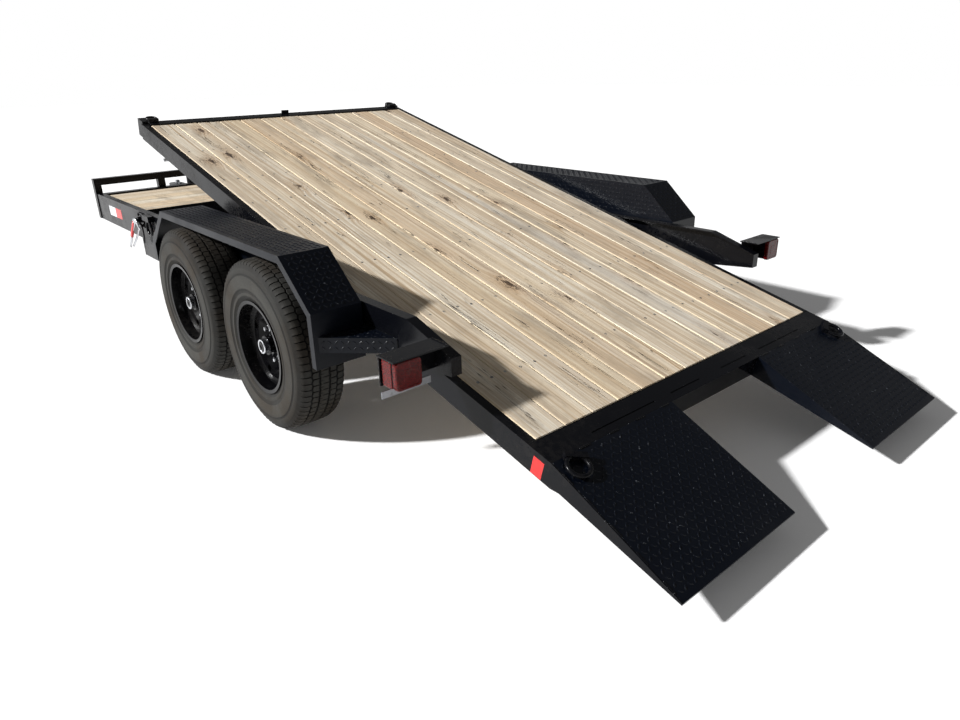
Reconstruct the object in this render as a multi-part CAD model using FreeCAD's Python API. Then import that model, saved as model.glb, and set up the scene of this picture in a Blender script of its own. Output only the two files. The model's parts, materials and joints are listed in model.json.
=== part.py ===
# Tilt car trailer: a fixed front deck and a tilting rear deck on two axles.
# +X runs forward to the coupler, +Y to the left side, +Z up from the ground; millimetres.
import FreeCAD, Part
import os, math

# Overall sizes
deck_z = 665.0            # top of the deck boards above the ground
rail_y = 1037.0           # outer face of the side rails
rail_width = 46.0
rail_bottom_z = 475.0
board_thick = 38.0
tilt_degrees = 14.2       # how far the rear deck stands tilted when parked
pivot_x = 1211.0          # measured from the rear edge of the tilting boards
pivot_z = 502.0
tilt_boards_length = 3495.0
tilt_frame_half = rail_y - 55.0
tilt_boards_half = tilt_frame_half - 40.0
tilt_channel = 96.0
tilt_cross_x = (330.0, 800.0, 1330.0, 1790.0, 2140.0, 2480.0, 2960.0)
tail_band = 114.0         # steel across the deck behind the boards
seam_x = -80.0
seam_spans = ((80.0, 275.0), (380.0, 740.0))
front_bar = 64.0
front_bar_rise = 6.0
lug_width = 66.0
lug_reach = 80.0
flap_length = 572.0
flap_drop_degrees = 10.1
flap_inner_y = 320.0
front_deck_rear_x = 3670.0
front_deck_front_x = 4548.0
headboard_x = 4700.0
headboard_top_z = deck_z + 110.0
coupler_x = 6080.0

# Rail ends
rail_end_x = 320.0
rail_bend_x = 580.0
rail_end_top_z = 583.0
rail_end_low_z = 513.0

# Wheels and axles
tyre_radius = 391.0
tyre_width = 235.0
tyre_outer_y = rail_y + 258.0
rim_radius = tyre_radius * 205.0 / 391.0
wheel_bore = 57.0
hand_hole_inset = 62.0
axle_x = (1383.0, 2262.0)
axle_drop = 102.0
axle_tube_radius = 38.0
spring_y = rail_y - 25.0
axle_end_y = rail_y + 43.0
spring_half = 320.0

# Fenders, steps and lamps
fender_top_z = 856.0
fender_outer_y = rail_y + 239.0
fender_inner_y = rail_y + 13.0
fender_flat = (1085.0, 2434.0)
fender_run = 218.0
fender_slope_z = 667.0
fender_low_z = 438.0
fender_front_low_z = 560.0
step_x = (649.0, fender_flat[0] - fender_run)
step_outer_y = rail_y + 218.0
step_z = 570.0
step_flange = 63.0
lamp_y = (rail_y + 119.0, rail_y + 228.0)
lamp_z = (520.0, 624.0)

# Tongue, jack and cushion cylinder
tongue_top_z = 475.0
tongue_depth = 120.0
tongue_rear_x = 3722.0
lower_rail_x = (2920.0, 3060.0)
tongue_front_x = 5820.0
jack_x = 5560.0
jack_y = 0.0
socket_radius = 30.0
barrel_pin_x = 3200.0
barrel_pin_z = 522.0
rod_pin_x = 2500.0
rod_pin_z = 528.0
barrel_radius = 26.0
rod_radius = 12.5

# Fittings on the rails
rail_ring_x = 3440.0
latch_x = 3590.0

steel = 6.0
cross_x = (1640.0, 2240.0, 3260.0)


def box(x0, x1, y0, y1, z0, z1):
    size = (abs(x1 - x0), abs(y1 - y0), abs(z1 - z0))
    corner = FreeCAD.Vector(min(x0, x1), min(y0, y1), min(z0, z1))
    return Part.makeBox(size[0], size[1], size[2], corner)


def side_plate(points, y0, y1):
    """Plate whose outline lies in XZ, running across from y0 to y1."""
    loop = [FreeCAD.Vector(x, y0, z) for x, z in points]
    face = Part.Face(Part.makePolygon(loop + loop[:1]))
    return face.extrude(FreeCAD.Vector(0, y1 - y0, 0))


def flat_plate(points, z0, z1):
    """Plate whose outline lies in XY, from z0 up to z1."""
    loop = [FreeCAD.Vector(x, y, z0) for x, y in points]
    face = Part.Face(Part.makePolygon(loop + loop[:1]))
    return face.extrude(FreeCAD.Vector(0, 0, z1 - z0))


def cross_plate(points, x0, x1):
    """Plate whose outline lies in YZ, running along from x0 to x1."""
    loop = [FreeCAD.Vector(x0, y, z) for y, z in points]
    face = Part.Face(Part.makePolygon(loop + loop[:1]))
    return face.extrude(FreeCAD.Vector(x1 - x0, 0, 0))


def rod_y(radius, x, z, y0, y1):
    start = FreeCAD.Vector(x, min(y0, y1), z)
    return Part.makeCylinder(radius, abs(y1 - y0), start, FreeCAD.Vector(0, 1, 0))


def rod_z(radius, x, y, z0, z1):
    start = FreeCAD.Vector(x, y, min(z0, z1))
    return Part.makeCylinder(radius, abs(z1 - z0), start, FreeCAD.Vector(0, 0, 1))


def rod_between(radius, a, b):
    a = FreeCAD.Vector(*a)
    b = FreeCAD.Vector(*b)
    return Part.makeCylinder(radius, (b - a).Length, a, b - a)


def turned_y(profile, x, z):
    """Round part about a crosswise axis; profile is (radius, y) points."""
    loop = [FreeCAD.Vector(x, y, z + r) for r, y in profile]
    face = Part.Face(Part.makePolygon(loop + loop[:1]))
    return face.revolve(FreeCAD.Vector(x, 0, z), FreeCAD.Vector(0, 1, 0), 360)


def ring(radius, wire, centre, normal):
    """Closed round ring of bar."""
    return Part.makeTorus(radius, wire, FreeCAD.Vector(*centre), FreeCAD.Vector(*normal))


def join(pieces):
    whole = pieces[0]
    for piece in pieces[1:]:
        whole = whole.fuse(piece)
    return whole.removeSplitter()


def both_sides(shape):
    other = shape.mirror(FreeCAD.Vector(0, 0, 0), FreeCAD.Vector(0, 1, 0))
    return Part.makeCompound([shape, other])


def right_of(shape):
    return shape.mirror(FreeCAD.Vector(0, 0, 0), FreeCAD.Vector(0, 1, 0))


def inset(points, gap):
    """Outline moved inward by the gap, keeping its corners sharp."""
    loop = [FreeCAD.Vector(x, 0, z) for x, z in points]
    wire = Part.makePolygon(loop + loop[:1])
    smaller = Part.Face(wire).makeOffset2D(-gap, 2)
    corners = smaller.OuterWire.OrderedVertexes
    return [(v.Point.x, v.Point.z) for v in corners]


def channel_x(x0, x1, y0, y1, z0, z1, open_side):
    """Channel running along X, open toward +1 or -1 in Y."""
    outer = box(x0, x1, y0, y1, z0, z1)
    if open_side > 0:
        hollow = box(x0 - 1, x1 + 1, y0 + steel, y1 + 1, z0 + steel, z1 - steel)
    else:
        hollow = box(x0 - 1, x1 + 1, y0 - 1, y1 - steel, z0 + steel, z1 - steel)
    return outer.cut(hollow)


def channel_y(x0, x1, y0, y1, z0, z1, open_side):
    """Channel running across, open toward +1 or -1 in X."""
    outer = box(x0, x1, y0, y1, z0, z1)
    if open_side > 0:
        hollow = box(x0 + steel, x1 + 1, y0 - 1, y1 + 1, z0 + steel, z1 - steel)
    else:
        hollow = box(x0 - 1, x1 - steel, y0 - 1, y1 + 1, z0 + steel, z1 - steel)
    return outer.cut(hollow)


# The tilting deck's tail tips set the rear end of the trailer.
tilt_angle = math.radians(tilt_degrees)
flap_drop = math.radians(flap_drop_degrees)
tip_x = -tail_band - flap_length * math.cos(flap_drop)
tip_z = deck_z - 6 - flap_length * math.sin(flap_drop)


def raised_x(x, z):
    """Where a point of the level deck lies along X once the deck is tilted."""
    return pivot_x + (x - pivot_x) * math.cos(tilt_angle) - (z - pivot_z) * math.sin(tilt_angle)


middle_x = (raised_x(tip_x, tip_z) + coupler_x) / 2.0


def save(name, shape, tilts=False):
    """Swing a tilting piece to its parked tilt, centre the trailer and write the piece."""
    placed = shape.copy()
    if tilts:
        pivot = FreeCAD.Vector(pivot_x, 0, pivot_z)
        placed.rotate(pivot, FreeCAD.Vector(0, 1, 0), -tilt_degrees)
    placed.translate(FreeCAD.Vector(-middle_x, 0, 0))
    placed.exportStep("parts/" + name + ".step")


# Main frame

def side_rail():
    """Side rail, a channel open inward, cut down to a taper at its rear end."""
    outline = [
        (rail_end_x, rail_end_low_z),
        (rail_end_x, rail_end_top_z),
        (rail_bend_x, deck_z),
        (headboard_x, deck_z),
        (headboard_x, rail_bottom_z),
        (rail_bend_x + 110, rail_bottom_z),
    ]
    inner_y = rail_y - rail_width
    outer = side_plate(outline, inner_y, rail_y)
    hollow = side_plate(inset(outline, steel), inner_y - 1, rail_y - steel)
    return outer.cut(hollow)


def lower_rail():
    """Short rail below the side rail, where the tongue meets it."""
    outline = [
        (tongue_rear_x, rail_bottom_z),
        (tongue_rear_x, rail_bottom_z - tongue_depth),
        (lower_rail_x[1], rail_bottom_z - tongue_depth),
        (lower_rail_x[0], rail_bottom_z),
    ]
    inner_y = rail_y - rail_width
    outer = side_plate(outline, inner_y, rail_y)
    hollow = side_plate(inset(outline, steel), inner_y - 1, rail_y - steel)
    return outer.cut(hollow)


def cross_members():
    """Channels between the rails; the front one carries the cylinder's pin."""
    inside = rail_y - rail_width
    low = rail_bottom_z
    pieces = []
    for x in cross_x:
        member = channel_y(x, x + 50, -inside, inside, low, low + 50, 1)
        if x == cross_x[-1]:
            member = join([member] + cylinder_lugs(x))
        pieces.append(member)
    return Part.makeCompound(pieces)


def cylinder_lugs(cross):
    """Ears and pin for the cushion cylinder's fixed end."""
    x = barrel_pin_x
    z = barrel_pin_z
    lug = [(x - 26, z - 26), (x - 26, z + 26), (cross + 2, z + 2), (cross + 2, z - 40)]
    ears = [side_plate(lug, side * 18, side * 28) for side in (-1, 1)]
    return ears + [rod_y(10.0, x, z, -34, 34)]


def front_frame():
    """Cross-members and stringers under the fixed front deck."""
    inside = rail_y - rail_width
    under = deck_z - board_thick
    low = rail_bottom_z
    rear = front_deck_rear_x
    front = headboard_x
    pieces = [channel_y(rear, rear + 60, -inside, inside, low, under, -1)]
    pieces.append(box(rear - steel, rear, -inside, inside, under - 60, deck_z))
    pieces.append(channel_y(front - 60, front, -inside, inside, low, deck_z, 1))
    for y in (-560.0, 0.0, 560.0):
        pieces.append(channel_x(rear + 50, front - 50, y - 20, y + 20, under - 60, under, 1))
    return join(pieces)


def headboard():
    tube = 50.0
    post_low = rail_bottom_z
    x0 = headboard_x
    x1 = headboard_x + tube
    pieces = [box(x0, x1, -rail_y - 6, rail_y + 6, headboard_top_z - tube, headboard_top_z)]
    for y in (-rail_y + 19, rail_y - 19):
        pieces.append(box(x0, x1, y - 25, y + 25, post_low, headboard_top_z - 20))
    for y in (-537.0, 0.0, 537.0):
        pieces.append(box(x0, x1, y - 28, y + 28, deck_z - 80, headboard_top_z - 20))
    return join(pieces)


def front_boards():
    """Boards laid across the fixed front deck."""
    count = 6
    gap = 6.0
    span = front_deck_front_x - front_deck_rear_x - 6
    width = (span - gap * (count - 1)) / count
    half = rail_y - rail_width - 6
    boards = []
    for i in range(count):
        x0 = front_deck_rear_x + 3 + i * (width + gap)
        boards.append(box(x0, x0 + width, -half, half, deck_z - board_thick, deck_z))
    return Part.makeCompound(boards)


def tongue_member():
    """One side of the tongue, from under the rail in to the coupler."""
    start = (tongue_rear_x, rail_y - 26)
    end = (tongue_front_x, 72.0)
    length = math.hypot(end[0] - start[0], end[1] - start[1])
    angle = math.degrees(math.atan2(end[1] - start[1], end[0] - start[0]))
    low = tongue_top_z - tongue_depth
    bar = channel_x(-20, length + 30, -25, 25, low, tongue_top_z, -1)
    bar.rotate(FreeCAD.Vector(0, 0, 0), FreeCAD.Vector(0, 0, 1), angle)
    bar.translate(FreeCAD.Vector(start[0], start[1], 0))
    keep = box(tongue_rear_x, tongue_front_x, 6, rail_y, low - 1, tongue_top_z - 0.3)
    return bar.common(keep)


def tongue():
    left = tongue_member()
    low = tongue_top_z - tongue_depth
    pieces = [left, right_of(left)]
    cross = 4760.0
    half = 72.0 + (tongue_front_x - cross) * 0.4595
    pieces.append(channel_y(cross, cross + 50, -half + 8, half - 8, low + 20, tongue_top_z - 20, 1))
    nose = [
        (tongue_front_x - 360, -230),
        (tongue_front_x - 360, 230),
        (tongue_front_x - 60, 92),
        (tongue_front_x - 60, -92),
    ]
    top = flat_plate(nose, tongue_top_z - 0.3, tongue_top_z + 8)
    top = top.cut(rod_z(48.0, jack_x, jack_y, 0, 900))
    pieces.append(top)
    return join(pieces)


def coupler():
    """Coupler with a ball socket open underneath."""
    x0 = tongue_front_x
    body = box(x0 + 0.3, coupler_x - 60, -60, 60, 420, 500)
    nose = rod_z(60.0, coupler_x - 60, 0, 420, 500)
    plate = box(x0 - 110, x0 + 20, -40, 40, 483.5, 500)
    shape = join([body, nose, plate])
    centre = FreeCAD.Vector(coupler_x - 75, 0, 0)
    mouth = rod_z(socket_radius, centre.x, 0, 400, 462)
    crown = Part.makeCone(socket_radius, 14.0, 16.0, centre + FreeCAD.Vector(0, 0, 462))
    return shape.cut(mouth.fuse(crown))


def coupler_latch():
    x0 = coupler_x - 210
    bar = box(x0, x0 + 120, -9, 9, 500.2, 516)
    lug = box(x0 + 70, x0 + 110, -16, 16, 500.2, 532)
    return join([bar, lug])


def jack_tube():
    tube = rod_z(41.0, jack_x, jack_y, 330, 900)
    bore = rod_z(33.0, jack_x, jack_y, 320, 880)
    sleeve = rod_z(47.5, jack_x, jack_y, 440, 520)
    head = box(jack_x - 48, jack_x + 48, -48, 48, 890, 945)
    shape = join([tube, sleeve, head])
    return shape.cut(bore)


def jack_crank():
    shaft = rod_y(11.0, jack_x, 918, 48.2, 120)
    arm = box(jack_x - 12, jack_x + 12, 108, 118, 760, 930)
    grip = rod_y(14.0, jack_x, 775, 118, 220)
    return join([shaft, arm, grip])


def jack_leg():
    leg = rod_z(32.95, jack_x, jack_y, 10, 560)
    foot = box(jack_x - 100, jack_x + 100, -75, 75, 0, 12)
    return join([leg, foot])


# Fenders, steps and lamps

def fender_outline(margin, low_margin):
    """Fender seen from the side, drawn in by a margin; open at the bottom."""
    x0, x1 = fender_flat
    run = fender_run - margin
    slope = fender_slope_z - 0.45 * margin
    return [
        (x0 - run, fender_low_z - low_margin),
        (x0 - run, slope),
        (x0 + 0.4 * margin, fender_top_z - margin),
        (x1 - 0.4 * margin, fender_top_z - margin),
        (x1 + run, slope),
        (x1 + run, fender_front_low_z - low_margin),
    ]


def fender():
    t = 4.0
    y0 = fender_inner_y
    y1 = fender_outer_y
    cover = side_plate(fender_outline(0, 0), y0, y1)
    cover = cover.cut(side_plate(fender_outline(t, 200), y0 - 1, y1 + 1))
    lip = side_plate(fender_outline(0, 0), y1 - t, y1)
    lip = lip.cut(side_plate(fender_outline(32, 200), y1 - t - 1, y1 + 1))
    back = side_plate(fender_outline(0, 0), y0, y0 + t)
    back = back.common(box(0, 4000, 0, y1, fender_front_low_z, deck_z + 300))
    pieces = [cover, lip, back]
    x0, x1 = fender_flat
    for x in (x0 - 120, (x0 + x1) / 2, x1 + 100):
        pieces.append(box(x, x + 40, rail_y, y0 + 1, 570, 610))
    return join(pieces)


def step():
    """Corner plate between rail and fender, with a flange along its slanted edge."""
    x0, x1 = step_x
    y1 = step_outer_y
    plate = flat_plate([(x0, rail_y), (x1, y1), (x1, rail_y)], step_z - 4, step_z)
    edge = [(x0, rail_y), (x1, y1), (x1, y1 - 6), (x0 + 6, rail_y)]
    return join([plate, flat_plate(edge, step_z - step_flange, step_z)])


def lamp_bracket():
    y0, y1 = lamp_y
    x0 = rail_end_x + 12
    pieces = [box(x0, x0 + 100, rail_y, y1 + 6, lamp_z[1] + 2, lamp_z[1] + 7)]
    pieces.append(box(x0 + 86, x0 + 91, rail_y, y1 + 6, lamp_z[0], lamp_z[1] + 5))
    return join(pieces)


def lamp():
    y0, y1 = lamp_y
    x0 = rail_end_x + 10
    return box(x0, x0 + 85.8, y0, y1, lamp_z[0], lamp_z[1] + 1.8)


def plate_bracket():
    x0 = rail_end_x + 60
    low = lamp_z[0] - 30
    bar = box(x0, x0 + 5, rail_y + 48, rail_y + 255, low, low + 26)
    post = box(x0 + 5, x0 + 25, rail_y + 143, rail_y + 183, low + 2, lamp_z[0] - 0.2)
    return join([bar, post])


# Axles and springs

def axle(x):
    z = tyre_radius - axle_drop
    end = axle_end_y
    pieces = [rod_y(axle_tube_radius, x, z, 8 - end, end - 8)]
    for side in (-1, 1):
        arm = box(x - 34, x + 34, side * (end - 16), side * end, z - 20, tyre_radius + 40)
        pieces.append(arm)
        pieces.append(rod_y(22.0, x, tyre_radius, side * (end - 9), side * (end + 160)))
        pieces.append(rod_y(140.0, x, tyre_radius, side * (end - 5), side * (end + 3)))
        seat = box(x - 45, x + 45, side * spring_y - 24, side * spring_y + 24, z + 30, z + 44)
        pieces.append(seat)
    return join(pieces)


def leaf_spring(x):
    """Arched pack of leaves with an eye at each end."""
    z = tyre_radius - axle_drop + 44
    eye_z = z + 46
    y0 = spring_y - 22
    y1 = spring_y + 22
    pieces = []
    steps = 8
    lengths = (1.0, 0.72, 0.45)
    for layer, reach in enumerate(lengths):
        points_top = []
        points_low = []
        for i in range(steps + 1):
            u = -reach + 2 * reach * i / steps
            rise = (eye_z - z - 18) * u * u
            low = z + (2 - layer) * 8 + rise
            points_low.append((x + u * spring_half, low))
            points_top.append((x + u * spring_half, low + 8.2))
        pieces.append(side_plate(points_low + points_top[::-1], y0, y1))
    for side in (-1, 1):
        pieces.append(rod_y(16.0, x + side * spring_half, eye_z + 4, y0, y1))
    spring = join(pieces)
    for side in (-1, 1):
        spring = spring.cut(rod_y(8.05, x + side * spring_half, eye_z + 4, y0 - 1, y1 + 1))
    return spring


def springs_left():
    return Part.makeCompound([leaf_spring(x) for x in axle_x])


def hangers_left():
    """Hangers, the rocker between the springs, and their pins."""
    eye_z = tyre_radius - axle_drop + 94
    rear = axle_x[0] - spring_half
    front = axle_x[1] + spring_half
    centre = (axle_x[0] + axle_x[1]) / 2
    shapes = []
    for x in (rear, front):
        ears = [box(x - 60, x + 60, spring_y - 35, spring_y + 33, rail_bottom_z - 6, rail_bottom_z)]
        for y in (spring_y - 31, spring_y + 23.5):
            outline = [
                (x - 58, rail_bottom_z - 3),
                (x + 58, rail_bottom_z - 3),
                (x + 22, eye_z - 22),
                (x - 22, eye_z - 22),
            ]
            ears.append(side_plate(outline, y, y + 7.5))
        ears.append(rod_y(8.0, x, eye_z, spring_y - 36, spring_y + 36))
        shapes.append(join(ears))
    middle = []
    outline = [
        (centre - 50, rail_bottom_z),
        (centre + 50, rail_bottom_z),
        (centre + 22, eye_z + 14),
        (centre - 22, eye_z + 14),
    ]
    middle.append(side_plate(outline, spring_y - 12, spring_y + 12))
    reach = centre - axle_x[0] - spring_half
    for y in (spring_y - 31, spring_y + 23.5):
        outline = [
            (centre - reach - 20, eye_z - 16),
            (centre - reach - 20, eye_z + 16),
            (centre - 30, eye_z + 52),
            (centre + 30, eye_z + 52),
            (centre + reach + 20, eye_z + 16),
            (centre + reach + 20, eye_z - 16),
        ]
        middle.append(side_plate(outline, y, y + 7.5))
    middle.append(rod_y(8.0, centre - reach, eye_z, spring_y - 36, spring_y + 36))
    middle.append(rod_y(8.0, centre + reach, eye_z, spring_y - 36, spring_y + 36))
    middle.append(rod_y(10.0, centre, eye_z + 34, spring_y - 36, spring_y + 36))
    shapes.append(join(middle))
    return Part.makeCompound(shapes)


# Wheels

def tyre(x):
    inner = tyre_outer_y - tyre_width
    profile = [
        (rim_radius, inner + 16),
        (rim_radius + 36, inner + 3),
        (tyre_radius - 95, inner),
        (tyre_radius - 45, inner + 6),
        (tyre_radius - 14, inner + 22),
        (tyre_radius, inner + 46),
        (tyre_radius, tyre_outer_y - 46),
        (tyre_radius - 14, tyre_outer_y - 22),
        (tyre_radius - 45, tyre_outer_y - 6),
        (tyre_radius - 95, tyre_outer_y),
        (rim_radius + 36, tyre_outer_y - 3),
        (rim_radius, tyre_outer_y - 16),
    ]
    return turned_y(profile, x, tyre_radius)


def wheel(x):
    """Pressed steel wheel: rim barrel and dished disc."""
    face = tyre_outer_y
    r = rim_radius
    profile = [
        (r - 0.2, face - 219),
        (r - 0.2, face - 16),
        (r + 8, face - 12),
        (r + 8, face - 7),
        (r - 8, face - 9),
        (r - 16, face - 60),
        (r - 40, face - 70),
        (r - 84, face - 70),
        (r - 104, face - 96),
        (wheel_bore, face - 96),
        (wheel_bore, face - 104),
        (r - 100, face - 104),
        (r - 80, face - 78),
        (r - 36, face - 78),
        (r - 18, face - 84),
        (r - 14, face - 200),
        (r - 8, face - 228),
        (r + 8, face - 228),
        (r + 8, face - 223),
    ]
    shape = turned_y(profile, x, tyre_radius)
    for i in range(8):
        angle = math.radians(45 * i + 22.5)
        hole_x = x + (r - hand_hole_inset) * math.cos(angle)
        hole_z = tyre_radius + (r - hand_hole_inset) * math.sin(angle)
        shape = shape.cut(rod_y(16.0, hole_x, hole_z, face - 90, face - 60))
    return shape


def hub(x):
    """Hub with its brake drum, studs' flange and grease cap."""
    face = tyre_outer_y
    profile = [
        (22.05, face - 206),
        (150, face - 206),
        (150, face - 112),
        (120, face - 104.2),
        (wheel_bore - 0.2, face - 104.2),
        (wheel_bore - 0.2, face - 90),
        (44, face - 90),
        (44, face - 46),
        (33, face - 44),
        (33, face - 26),
        (0, face - 26),
        (0, face - 50),
        (22.05, face - 50),
    ]
    return turned_y(profile, x, tyre_radius)


# The tilting deck, built level and swung up by its parked tilt

def tilt_side():
    """Side channel of the deck, tapering to a knife edge under the tail plate."""
    top = deck_z - 6
    low = top - tilt_channel
    front = tilt_boards_length + front_bar
    rear = -tail_band
    outline = [
        (front, low),
        (front, top),
        (rear, top),
        (tip_x, tip_z),
        (tip_x, tip_z - 7),
        (rear - 60, low + 10),
        (rear - 20, low),
    ]
    channel = box(0, front, tilt_frame_half - 40, tilt_frame_half, low, top)
    hollow = box(steel, front + 1, tilt_frame_half - 41, tilt_frame_half - steel, low + steel, top - steel)
    web = side_plate(outline, tilt_frame_half - steel, tilt_frame_half)
    return join([channel.cut(hollow), web])


def tilt_cross():
    """Channels across under the tilting boards, one with the rod's ears."""
    top = deck_z - 6
    under = deck_z - board_thick
    inside = tilt_frame_half - steel
    front = tilt_boards_length
    between = tilt_frame_half - 40
    head = deck_z + front_bar_rise
    bar = channel_y(front + 3, front + front_bar, -between, between, top - tilt_channel, head, -1)
    tab = box(front + front_bar - 8, front + front_bar, -26, 26, head - 10, head + 20)
    pieces = [join([bar, tab])] + corner_lugs()
    for x in tilt_cross_x:
        member = channel_y(x, x + 40, -inside, inside, under - 50, under, 1)
        if x < rod_pin_x < x + 40:
            member = join([member] + rod_ears(under - 44))
            member = member.cut(rod_y(10.0, rod_pin_x, rod_pin_z, -40, 40))
        pieces.append(member)
    return Part.makeCompound(pieces)


def corner_lugs():
    """Brackets ahead of the deck's front corners, which the latch holds down."""
    x0 = tilt_boards_length + front_bar
    y1 = tilt_frame_half - 7
    y0 = y1 - lug_width
    top = deck_z + front_bar_rise
    lug = box(x0, x0 + lug_reach, y0, y1, deck_z - 98, top)
    lug = lug.cut(box(x0 + steel, x0 + lug_reach + 1, y0 + steel, y1 - steel, 0, top - steel))
    return [lug, right_of(lug)]


def rod_ears(top):
    x = rod_pin_x
    z = rod_pin_z
    outline = [
        (x - 20, z - 22),
        (x - 20, top - 2),
        (x - 16, top + 2),
        (x + 16, top + 2),
        (x + 20, top - 2),
        (x + 20, z - 22),
    ]
    return [side_plate(outline, side * 20, side * 30) for side in (-1, 1)]


def pivot_ears():
    """Plates that hang the tilting deck on its pivot shaft."""
    low = deck_z - 6 - tilt_channel
    y = tilt_frame_half - 28
    x = pivot_x
    z = pivot_z
    ear = [(x - 70, low), (x + 70, low), (x + 28, z - 12), (x - 28, z - 12)]
    left = join([side_plate(ear, y - 12, y + 12), rod_y(34.0, x, z, y - 26, y + 14)])
    left = left.cut(rod_y(19.05, x, z, y - 40, y + 40))
    return both_sides(left)


def tilt_boards():
    """Boards running lengthwise on the tilting deck."""
    count = 13
    gap = 3.0
    span = 2 * tilt_boards_half
    width = (span - gap * (count - 1)) / count
    boards = []
    for i in range(count):
        y0 = -tilt_boards_half + i * (width + gap)
        boards.append(box(0, tilt_boards_length, y0, y0 + width, deck_z - board_thick, deck_z))
    return Part.makeCompound(boards)


def tail_band_plate():
    """Steel band across the deck behind the boards, with its rear wall."""
    top = deck_z - 6
    half = tilt_frame_half - steel - 0.3
    band = box(-tail_band, -3, -half, half, top - 8, top)
    wall = box(-tail_band, -tail_band + 8, -half, half, top - tilt_channel, top)
    shape = join([band, wall])
    for start, end in seam_spans:
        for y0, y1 in ((start, end), (-end, -start)):
            shape = shape.cut(box(seam_x, seam_x + 6, y0, y1, top - 3, top + 1))
    return shape


def tail_plate():
    """Fixed wedge at the tail, one side, with its inner tapered wall."""
    top = deck_z - 6
    rear = -tail_band
    y1 = tilt_frame_half - steel - 0.3
    slope = [(rear - 0.3, top), (tip_x, tip_z), (tip_x, tip_z - 8), (rear - 0.3, top - 9)]
    plate = side_plate(slope, flap_inner_y, y1)
    wall = [(rear - 0.3, top), (tip_x, tip_z), (tip_x, tip_z - 8), (rear - 0.3, top - tilt_channel)]
    inner = side_plate(wall, flap_inner_y, flap_inner_y + 8)
    middle = side_plate(wall, 640, 648)
    return join([plate, inner, middle])


def deck_rings():
    """Tie-down rings on the tail plates and on the deck's front corners."""
    up = FreeCAD.Vector(0, 0, 1)
    origin = FreeCAD.Vector(0, 0, 0)
    rear = deck_ring(42.0, 8.0)
    rear.rotate(origin, up, -30)
    rear.rotate(origin, FreeCAD.Vector(0, 1, 0), -flap_drop_degrees)
    back = 22.0
    height = deck_z - 5.9 - back * math.tan(flap_drop)
    rear.translate(FreeCAD.Vector(-tail_band - back, tilt_frame_half - 90, height))
    front = deck_ring(30.0, 7.0)
    front.rotate(origin, up, 180)
    seat_x = tilt_boards_length + front_bar - 14
    front.translate(FreeCAD.Vector(seat_x, tilt_frame_half - 72, deck_z + front_bar_rise + 0.1))
    return Part.makeCompound([both_sides(rear), both_sides(front)])


def deck_ring(radius, wire):
    """A round ring held flat by its pad, reaching back from it."""
    pad = box(-12, 12, -radius, radius, 0, wire * 3)
    bow = ring(radius, wire, (-radius, 0, wire * 1.6), (0, 0, 1))
    return join([pad, bow])


def pivot_shaft():
    end = rail_y - steel
    return rod_y(19.0, pivot_x, pivot_z, -end + 0.2, end - 0.2)


def along_cylinder(reach):
    """Point on the cylinder's line, this far from its fixed pin."""
    run = rod_pin_x - barrel_pin_x
    rise = rod_pin_z - barrel_pin_z
    length = math.hypot(run, rise)
    return (barrel_pin_x + run / length * reach, 0, barrel_pin_z + rise / length * reach)


def cylinder_barrel():
    body = rod_between(barrel_radius, along_cylinder(46), along_cylinder(520))
    neck = rod_between(13.0, along_cylinder(14), along_cylinder(56))
    eye = rod_y(22.0, barrel_pin_x, barrel_pin_z, -14, 14)
    shape = join([body, neck, eye])
    shape = shape.cut(rod_y(10.05, barrel_pin_x, barrel_pin_z, -30, 30))
    return shape.cut(rod_between(rod_radius + 0.05, along_cylinder(60), along_cylinder(560)))


def cylinder_rod():
    length = math.hypot(rod_pin_x - barrel_pin_x, rod_pin_z - barrel_pin_z)
    bar = rod_between(rod_radius, along_cylinder(190), along_cylinder(length - 16))
    eye = rod_y(20.0, rod_pin_x, rod_pin_z, -14, 14)
    pin = rod_y(9.0, rod_pin_x, rod_pin_z, -18, 18)
    return join([bar, eye, pin])


def rail_rings():
    """Ring and its bracket on the outside of each rail."""
    x = rail_ring_x
    pad = box(x - 60, x + 60, rail_y + 0.2, rail_y + 40, deck_z - 34, deck_z + 2)
    bow = ring(46.0, 9.0, (x, rail_y + 22, deck_z - 80), (0, 1, 0))
    return both_sides(join([pad, bow]))


def deck_latch():
    x = latch_x
    plate = box(x, x + 100, rail_y + 0.2, rail_y + 10, 560, deck_z - 8)
    pin = rod_y(14.0, x + 50, 612, rail_y + 5, rail_y + 60)
    lever = rod_between(9.0, (x + 50, rail_y + 50, 612), (x + 150, rail_y + 70, 410))
    return join([plate, pin, lever])


def turn_up(shape, slides=False):
    """Swing a cylinder piece about its fixed pin so that it meets the raised deck."""
    a = FreeCAD.Vector(barrel_pin_x, 0, barrel_pin_z)
    pivot = FreeCAD.Vector(pivot_x, 0, pivot_z)
    eye = FreeCAD.Vector(rod_pin_x, 0, rod_pin_z) - pivot
    c, s = math.cos(tilt_angle), math.sin(tilt_angle)
    raised = FreeCAD.Vector(eye.x * c - eye.z * s, 0, eye.x * s + eye.z * c) + pivot
    level = FreeCAD.Vector(rod_pin_x, 0, rod_pin_z) - a
    up = raised - a
    swing = math.atan2(up.z, -up.x) - math.atan2(level.z, -level.x)
    placed = shape.copy()
    if slides:
        grow = up.Length - level.Length
        unit = level * (1.0 / level.Length)
        placed.translate(unit * grow)
    placed.rotate(a, FreeCAD.Vector(0, 1, 0), math.degrees(swing))
    return placed


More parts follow.
